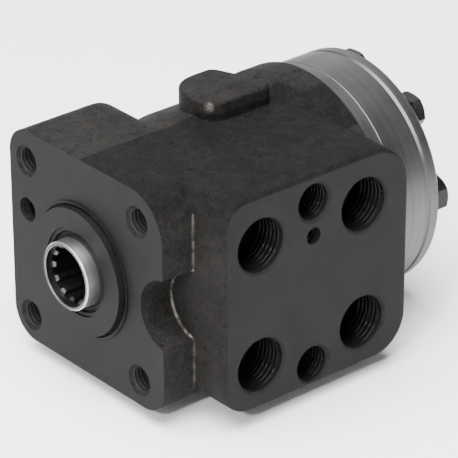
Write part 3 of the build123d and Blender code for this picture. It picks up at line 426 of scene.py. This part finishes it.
    # Milled faces: faint streaks of the cutter under thin stains of the phosphate bath
    streak = add_node(tree, "ShaderNodeMapping", {"Vector": place, "Scale": (1, 0.12, 1)}).outputs[0]
    streak = add_node(tree, "ShaderNodeTexNoise", {
        "Vector": streak, "Scale": 1 / (1.6 * MM), "Detail": 3.0}).outputs[0]
    stain_and_front_shade = add_node(tree, "ShaderNodeMath", {0: streak, 1: 0.35, 2: cloud},
                     operation="MULTIPLY_ADD").outputs[0]
    stain_and_front_shade = add_node(tree, "ShaderNodeMapRange", {"Value": stain_and_front_shade, "From Min": 0.45, "From Max": 0.9,
                                                 "To Min": 0.82, "To Max": 1.16}).outputs[0]
    # Painted shade: the column face is drawn darker than the other milled faces, partly its own duller tone,
    # partly to offset the front lamps
    painted_front_shade = add_node(tree, "ShaderNodeMapRange", {
        "Value": face_front, "To Min": 1.0, "To Max": 0.68}).outputs[0]
    stain_and_front_shade = add_node(tree, "ShaderNodeMath", {0: stain_and_front_shade, 1: painted_front_shade}, operation="MULTIPLY").outputs[0]
    smooth = add_node(tree, "ShaderNodeVectorMath", {0: tuple(colours.machined_iron)[:3], "Scale": stain_and_front_shade},
                      operation="SCALE").outputs[0]
    colour = add_node(tree, "ShaderNodeMix", {0: milled, 6: skin, 7: smooth}, data_type="RGBA").outputs[2]
    colour = add_node(tree, "ShaderNodeMix", {0: rim, 6: colour, 7: chamfer_iron},
                      data_type="RGBA").outputs[2]
    colour = add_node(tree, "ShaderNodeMix", {0: inside, 6: colour, 7: tuple(colours.bore_iron)},
                      data_type="RGBA").outputs[2]
    colour = add_node(tree, "ShaderNodeMix", {0: in_column, 6: colour, 7: column_bore_iron},
                      data_type="RGBA").outputs[2]
    # Painted highlights on a few corners and edges, broken up by the patches
    wobble = add_node(tree, "ShaderNodeMapRange", {"Value": patch, "From Min": 0.38, "From Max": 0.55,
                                                  "To Min": 0.15, "To Max": 1.0}).outputs[0]
    painted_highlight = painted_highlight_mask(tree, place, wobble)
    colour = add_node(tree, "ShaderNodeMix", {0: painted_highlight, 6: colour, 7: tuple(colours.painted_highlight_iron)},
                      data_type="RGBA").outputs[2]
    tree.links.new(colour, surface.inputs["Base Color"])
    metal = add_node(tree, "ShaderNodeMath", {0: inside, 1: 0.3}, operation="MULTIPLY").outputs[0]
    tree.links.new(metal, surface.inputs["Metallic"])
    skin_rough = add_node(tree, "ShaderNodeMapRange", {
        "Value": left_half, "To Min": 0.72, "To Max": 0.6}).outputs[0]
    rough = skin_rough
    for mask, roughness in ((milled, 0.5), (inside, 0.45), (painted_highlight, 0.4)):
        rough = add_node(tree, "ShaderNodeMix", {0: mask, 2: rough, 3: roughness}).outputs[0]
    tree.links.new(rough, surface.inputs["Roughness"])
    surface.inputs["Specular IOR Level"].default_value = 0.06
    # Relief: sand grain, patches and pits on the skin, fine cutter marks on the milled faces
    fine = add_node(tree, "ShaderNodeTexNoise", {
        "Vector": place, "Scale": 1 / (0.5 * MM), "Detail": 2.0}).outputs[0]
    fine = add_node(tree, "ShaderNodeMath", {0: fine, 1: 0.15}, operation="MULTIPLY").outputs[0]
    coarse = grain
    for relief, share in ((pits, 0.8), (patch, 1.5)):
        coarse = add_node(tree, "ShaderNodeMath", {0: relief, 1: share, 2: coarse},
                          operation="MULTIPLY_ADD").outputs[0]
    plain = add_node(tree, "ShaderNodeMath", {0: milled, 1: inside}, operation="MAXIMUM").outputs[0]
    height = add_node(tree, "ShaderNodeMix", {0: plain, 2: coarse, 3: fine}).outputs[0]
    bump = add_node(tree, "ShaderNodeBump", {"Height": height, "Strength": 1.0, "Distance": 0.8 * MM})
    tree.links.new(bump.outputs[0], surface.inputs["Normal"])
    return material


def turned_material(name, colour, roughness, line, metallic=1.0, shine=0.5, bright_joint=None,
                    painted_shade_front=None):
    """Turned or ground metal: fine rings round the Y axis that show in colour, gloss and relief.

    It gives the eye a brushed sheen that runs round the part. shine is the reflection of a surface that isn't
    metallic, such as oil on iron. bright_joint is the y of a joint along which a painted highlight of lighter
    steel is drawn, painted_shade_front the y of a front face that is painted darker than the sides, like the
    splined bore, as painted shade.
    """
    spline_bore = 10.75 * MM
    painted_highlight_steel = hex_colour("#909092")
    material, tree, surface = new_material(name)
    place = add_node(tree, "ShaderNodeTexCoord").outputs["Object"]
    x, y, z = add_node(tree, "ShaderNodeSeparateXYZ", {0: place}).outputs
    radius = hole_distance(tree, x, z)
    rings = add_node(tree, "ShaderNodeCombineXYZ", {0: radius, 1: y}).outputs[0]
    fine = add_node(tree, "ShaderNodeTexNoise", {"Vector": rings, "Scale": 1 / line, "Detail": 3.0,
                                                "Roughness": 0.7}).outputs[0]
    broad = add_node(tree, "ShaderNodeTexNoise", {
        "Vector": rings, "Scale": 0.2 / line, "Detail": 2.0}).outputs[0]
    cloud = add_node(tree, "ShaderNodeTexNoise", {
        "Vector": place, "Scale": 1 / (14 * MM), "Detail": 4.0}).outputs[0]
    mark = add_node(tree, "ShaderNodeMath", {0: fine, 1: broad}, operation="ADD").outputs[0]
    shade = add_node(tree, "ShaderNodeMapRange", {
        "Value": mark, "From Min": 0.7, "From Max": 1.3, "To Min": 0.86, "To Max": 1.14}).outputs[0]
    tint = add_node(tree, "ShaderNodeVectorMath", {0: tuple(colour)[:3], "Scale": shade},
                    operation="SCALE").outputs[0]
    # Painted shade: the front face and the splined bore are drawn at 0.16 of the colour
    if painted_shade_front:
        front = add_node(tree, "ShaderNodeMath", {0: y, 1: painted_shade_front}, operation="LESS_THAN").outputs[0]
        bore = add_node(tree, "ShaderNodeMath", {0: radius, 1: spline_bore}, operation="LESS_THAN").outputs[0]
        painted_shade = add_node(tree, "ShaderNodeMath", {0: front, 1: bore}, operation="MAXIMUM").outputs[0]
        painted_shade = add_node(tree, "ShaderNodeMapRange", {"Value": painted_shade, "To Min": 1.0, "To Max": 0.16}).outputs[0]
        tint = add_node(tree, "ShaderNodeVectorMath", {0: tint, "Scale": painted_shade}, operation="SCALE").outputs[0]
    # Painted highlight along the joint, in a lighter steel
    if bright_joint:
        near = folded_offset(tree, y, bright_joint)
        wear_and_highlight = add_node(tree, "ShaderNodeMapRange", {
            "Value": near, "From Min": 0.05 * MM, "From Max": 0.4 * MM,
            "To Min": 0.2, "To Max": 0.0}).outputs[0]
        tint = add_node(tree, "ShaderNodeMix", {0: wear_and_highlight, 6: tint, 7: painted_highlight_steel},
                        data_type="RGBA").outputs[2]
    tree.links.new(tint, surface.inputs["Base Color"])
    gloss = add_node(tree, "ShaderNodeMath", {0: fine, 1: cloud}, operation="ADD").outputs[0]
    gloss = add_node(tree, "ShaderNodeMapRange", {
        "Value": gloss, "From Min": 0.7, "From Max": 1.3,
        "To Min": roughness * 0.8, "To Max": roughness * 1.25}).outputs[0]
    tree.links.new(gloss, surface.inputs["Roughness"])
    surface.inputs["Metallic"].default_value = metallic
    surface.inputs["Specular IOR Level"].default_value = shine
    bump = add_node(tree, "ShaderNodeBump", {"Height": fine, "Strength": 0.35, "Distance": 0.02 * MM})
    tree.links.new(bump.outputs[0], surface.inputs["Normal"])
    return material


def oxide_material(colours):
    """Black-oxided steel: it gives the eye a dark surface, browner in spots of wear, with a soft oily gloss.
    """
    worn_oxide = hex_colour("#3a3735")
    material, tree, surface = new_material("Steel, black oxide")
    place = add_node(tree, "ShaderNodeTexCoord").outputs["Object"]
    cloud = add_node(tree, "ShaderNodeTexNoise", {"Vector": place, "Scale": 1 / (3 * MM), "Detail": 5.0,
                                                 "Roughness": 0.6}).outputs[0]
    wear_and_highlight = add_node(tree, "ShaderNodeMapRange", {
        "Value": cloud, "From Min": 0.55, "From Max": 0.75}).outputs[0]
    colour = add_node(tree, "ShaderNodeMix", {0: wear_and_highlight, 6: tuple(colours.black_oxide), 7: worn_oxide},
                      data_type="RGBA").outputs[2]
    tree.links.new(colour, surface.inputs["Base Color"])
    gloss = add_node(tree, "ShaderNodeMapRange", {"Value": cloud, "From Min": 0.3, "From Max": 0.7,
                                                 "To Min": 0.32, "To Max": 0.5}).outputs[0]
    tree.links.new(gloss, surface.inputs["Roughness"])
    surface.inputs["Metallic"].default_value = 0.7
    bump = add_node(tree, "ShaderNodeBump", {"Height": cloud, "Strength": 0.25, "Distance": 0.05 * MM})
    tree.links.new(bump.outputs[0], surface.inputs["Normal"])
    return material


def rubber_material(colours):
    """Moulded nitrile rubber: it gives the eye a matt black with a fine bloom and hardly any reflection."""
    bloomed_rubber = hex_colour("#151516")
    material, tree, surface = new_material("Nitrile rubber, moulded")
    place = add_node(tree, "ShaderNodeTexCoord").outputs["Object"]
    bloom = add_node(tree, "ShaderNodeTexNoise", {
        "Vector": place, "Scale": 1 / (2 * MM), "Detail": 4.0}).outputs[0]
    colour = add_node(tree, "ShaderNodeMix", {0: bloom, 6: tuple(colours.seal_rubber), 7: bloomed_rubber},
                      data_type="RGBA").outputs[2]
    tree.links.new(colour, surface.inputs["Base Color"])
    gloss = add_node(tree, "ShaderNodeMapRange", {"Value": bloom, "From Min": 0.3, "From Max": 0.7,
                                                 "To Min": 0.5, "To Max": 0.7}).outputs[0]
    tree.links.new(gloss, surface.inputs["Roughness"])
    surface.inputs["Specular IOR Level"].default_value = 0.12
    bump = add_node(tree, "ShaderNodeBump", {"Height": bloom, "Strength": 0.3, "Distance": 0.04 * MM})
    tree.links.new(bump.outputs[0], surface.inputs["Normal"])
    return material


class UNIT_OT_dress_housing(bpy.types.Operator):
    """Gives the housing its cast skin, milled faces, oiled bores, painted highlights on a few corners and
    painted light and shade
    """

    bl_idname = "unit.dress_housing"
    bl_label = "Housing finish"

    def execute(self, context):
        scene = context.scene
        dress(housing_material(scene.unit_colours, scene.unit_sizes), "housing")
        return {"FINISHED"}


class UNIT_OT_port_threads(bpy.types.Operator):
    """Cuts the look of threads into the four ports and the two valve block holes"""

    bl_idname = "unit.port_threads"
    bl_label = "Port threads"

    def execute(self, context):
        sizes = context.scene.unit_sizes
        rows = (PORT_Y - PORT_SPREAD_Y, PORT_Y + PORT_SPREAD_Y)
        ports = [(56.4 * MM, y, z) for y in rows for z in (PORT_SPREAD_Z, -PORT_SPREAD_Z)]
        coils = thread_ridges("port_threads", ports, sizes.port_pitch, sizes.port_depth,
                              wall=9.5 * MM, depth=14.2 * MM, axis="X")
        holes = [(56.1 * MM, BLOCK_HOLE_Y, z) for z in (BLOCK_HOLE_SPREAD_Z, -BLOCK_HOLE_SPREAD_Z)]
        small = thread_ridges("valve_block_threads", holes, sizes.block_pitch, sizes.metric_depth,
                              wall=6.25 * MM, depth=13.3 * MM, axis="X")
        # Wet dark crests that catch a thin light on each turn
        finish = turned_material("Grey iron, tapped and oiled", hex_colour("#121211"), 0.15,
                                 sizes.lathe_line, metallic=0.0, shine=0.16)
        coils.data.materials.append(finish)
        small.data.materials.append(finish)
        return {"FINISHED"}


class UNIT_OT_column_threads(bpy.types.Operator):
    """Cuts the look of threads into the four holes of the column flange"""

    bl_idname = "unit.column_threads"
    bl_label = "Column hole threads"

    def execute(self, context):
        sizes = context.scene.unit_sizes
        sides = (-COLUMN_HOLE_SPREAD, COLUMN_HOLE_SPREAD)
        holes = [(x, 1.4 * MM, z) for x in sides for z in sides]
        coils = thread_ridges("column_threads", holes, sizes.column_pitch, sizes.metric_depth,
                              wall=4.25 * MM, depth=11.0 * MM, axis="Y")
        # Dry dark crests, hardly lighter than the hole
        coils.data.materials.append(
            turned_material("Grey iron, tapped", hex_colour("#201f1e"), 0.4, sizes.lathe_line,
                            metallic=0.0, shine=0.1))
        return {"FINISHED"}


class UNIT_OT_dress_meter(bpy.types.Operator):
    """Gives plate, gear ring, star and cover their turned and ground steel"""

    bl_idname = "unit.dress_meter"
    bl_label = "Meter stack finish"

    def execute(self, context):
        scene = context.scene
        steel = scene.unit_colours.ground_steel
        line = scene.unit_sizes.lathe_line
        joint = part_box("gear_ring")[1][1]
        # Satin grey discs: the ring's marks are finer than the cover's, and a painted highlight runs along
        # the joint between the two
        dress(turned_material("Steel, turned, plate", steel, 0.44, line), "distributor_plate")
        dress(turned_material("Steel, ground, gear ring", steel, 0.42, line * 0.8, bright_joint=joint),
              "gear_ring")
        dress(turned_material("Steel, turned, cover", steel, 0.44, line * 1.2, bright_joint=joint),
              "end_cover")
        # Smoother and finer marked, as the flanks that run on each other are
        dress(turned_material("Steel, hobbed and lapped", steel, 0.25, line * 0.6), "star", "spacer_disc")
        return {"FINISHED"}


class UNIT_OT_dress_valve(bpy.types.Operator):
    """Gives spool, sleeve, drive shaft, bearing and small valves their steel finishes"""

    bl_idname = "unit.dress_valve"
    bl_label = "Valve finish"

    def execute(self, context):
        scene = context.scene
        colours = scene.unit_colours
        line = scene.unit_sizes.lathe_line
        # The brightest part: a light neck round a splined bore; the front face and the bore are painted dark,
        # a painted shade
        dress(turned_material("Steel, hardened and polished", colours.spool_steel, 0.36, line,
                              painted_shade_front=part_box("spool")[0][1] + 0.1 * MM), "spool")
        # Mirror-like pin and ball
        dress(turned_material("Steel, lapped", colours.polished_steel, 0.16, line),
              "cross_pin", "check_valve_ball")
        # Even grey with the finest marks
        ground = turned_material("Steel, hardened and ground", colours.ground_steel, 0.26, line * 0.6)
        dress(ground, "sleeve", "drive_shaft", "bearing_outer_race", "bearing_inner_race", "bearing_needles",
              "check_valve_bushing", "relief_seat", "relief_poppet")
        # A warmer, duller grey than the ground parts
        dress(turned_material("Sheet steel, pressed", hex_colour("#8f8d88"), 0.4, line), "bearing_cage")
        # The blue of tempered steel
        dress(turned_material("Spring steel, blued", hex_colour("#4a5363"), 0.3, line), "centring_springs",
              "spring_ring", "relief_spring")
        return {"FINISHED"}


class UNIT_OT_dress_screws(bpy.types.Operator):
    """Gives the cover screws, washers and plugs their black oxide"""

    bl_idname = "unit.dress_screws"
    bl_label = "Screw finish"

    def execute(self, context):
        dress(oxide_material(context.scene.unit_colours), "cover_screws", "cover_washers", "relief_plug",
              "relief_adjuster", "gallery_plug")
        return {"FINISHED"}


class UNIT_OT_dress_seals(bpy.types.Operator):
    """Gives the wiper, the shaft seal and the O-rings their rubber"""

    bl_idname = "unit.dress_seals"
    bl_label = "Seal finish"

    def execute(self, context):
        dress(rubber_material(context.scene.unit_colours), "dust_seal", "shaft_seal", "o_ring_housing",
              "o_ring_plate", "o_ring_cover", "relief_plug_seal")
        return {"FINISHED"}


class UNIT_OT_stage(bpy.types.Operator):
    """Sets the pale floor, the soft lights and the camera"""

    bl_idname = "unit.stage"
    bl_label = "Studio"

    def execute(self, context):
        scene = context.scene
        half_width = 3.0
        height = CAD_BOX[0][2] - 0.05 * MM
        corners = np.array([[-1, -1], [1, -1], [1, 1], [-1, 1]]) * half_width
        floor = add_mesh("floor", np.column_stack([corners, np.full(4, height)]), np.array([[0, 1, 2, 3]]))
        # Matt studio paper: an even white with a hardly visible fibre
        material, tree, surface = new_material("Paper, matt coated")
        place = add_node(tree, "ShaderNodeTexCoord").outputs["Object"]
        fibre = add_node(tree, "ShaderNodeTexNoise", {
            "Vector": place, "Scale": 60.0, "Detail": 2.0}).outputs[0]
        tone = add_node(tree, "ShaderNodeMix", {0: fibre, 6: hex_colour("#f8f8f8"), 7: hex_colour("#fcfcfc")},
                        data_type="RGBA").outputs[2]
        tree.links.new(tone, surface.inputs["Base Color"])
        surface.inputs["Roughness"].default_value = 0.9
        floor.data.materials.append(material)
        world = bpy.data.worlds.new("Studio room")
        world.use_nodes = True
        room = world.node_tree
        back = room.nodes["Background"]
        # An even white room with one dark flag, high behind the unit, that gives the steel ring its contrast
        flag_direction = (0.36, 0.58, 0.73)
        toward = add_node(room, "ShaderNodeTexCoord").outputs["Generated"]
        flag = add_node(room, "ShaderNodeVectorMath", {0: toward, 1: flag_direction},
                        operation="DOT_PRODUCT").outputs["Value"]
        flag = add_node(room, "ShaderNodeMapRange", {
            "Value": flag, "From Min": 0.7, "From Max": 0.92, "To Min": 0.95, "To Max": 0.05}).outputs[0]
        back.inputs[0].default_value = hex_colour("#ffffff")
        room.links.new(flag, back.inputs[1])
        scene.world = world
        # name, place in metres, width in metres, power in watts
        lamps = (
            ("top_softbox", (0.12, -0.3, 1.25), 1.4, 85.0),
            ("left_softbox", (-0.9, 0.75, 0.62), 0.6, 1.4),
            ("glint_lamp", (0.48, -0.72, 0.55), 0.08, 9.0),
        )
        aim = Vector((0, 0.05, 0))
        for name, spot, width, power in lamps:
            lamp = bpy.data.lights.new(name, "AREA")
            lamp.shape = "DISK"
            lamp.size = width
            lamp.energy = power
            holder = bpy.data.objects.new(name, lamp)
            holder.location = spot
            holder.rotation_euler = (aim - Vector(spot)).to_track_quat("-Z", "Y").to_euler()
            scene.collection.objects.link(holder)
        # Camera fitted to the photograph: turn round Z, lift above the floor, roll, and place in metres
        turn, lift, roll = math.radians(49.84), math.radians(27.48), math.radians(-0.18)
        camera_place = (0.73859, -0.55999, 0.49650)
        back_axis = Vector((math.sin(turn) * math.cos(lift), -math.cos(turn) * math.cos(lift),
                            math.sin(lift)))
        right = Vector((math.cos(turn), math.sin(turn), 0))
        up = back_axis.cross(right)
        camera = bpy.data.cameras.new("camera")
        camera.sensor_width = 36
        camera.lens = 250.33
        camera.clip_start, camera.clip_end = 0.05, 20
        holder = bpy.data.objects.new("camera", camera)
        axes = Matrix((right * math.cos(roll) + up * math.sin(roll),
                       up * math.cos(roll) - right * math.sin(roll),
                       back_axis)).transposed()
        holder.matrix_world = Matrix.Translation(camera_place) @ axes.to_4x4()
        scene.collection.objects.link(holder)
        scene.camera = holder
        return {"FINISHED"}


STEPS = (
    UNIT_OT_dress_housing,
    UNIT_OT_port_threads,
    UNIT_OT_column_threads,
    UNIT_OT_dress_meter,
    UNIT_OT_dress_valve,
    UNIT_OT_dress_screws,
    UNIT_OT_dress_seals,
    UNIT_OT_stage,
)


class UNIT_PT_panel(bpy.types.Panel):
    """Lists the steps that dress the steering unit"""

    bl_idname = "UNIT_PT_panel"
    bl_label = "Steering unit"
    bl_space_type = "VIEW_3D"
    bl_region_type = "UI"
    bl_category = "Steering"

    def draw(self, context):
        for step in STEPS:
            self.layout.operator(step.bl_idname)


CLASSES = (SteeringUnitSizes, SteeringUnitColours, *STEPS, UNIT_PT_panel)


def register():
    for item in CLASSES:
        bpy.utils.register_class(item)
    bpy.types.Scene.unit_sizes = bpy.props.PointerProperty(type=SteeringUnitSizes)
    bpy.types.Scene.unit_colours = bpy.props.PointerProperty(type=SteeringUnitColours)


def unregister():
    del bpy.types.Scene.unit_colours
    del bpy.types.Scene.unit_sizes
    for item in reversed(CLASSES):
        bpy.utils.unregister_class(item)


def main():
    register()
    for step in STEPS:
        area, action = step.bl_idname.split(".")
        getattr(getattr(bpy.ops, area), action)()


if __name__ == "__main__":
    main()
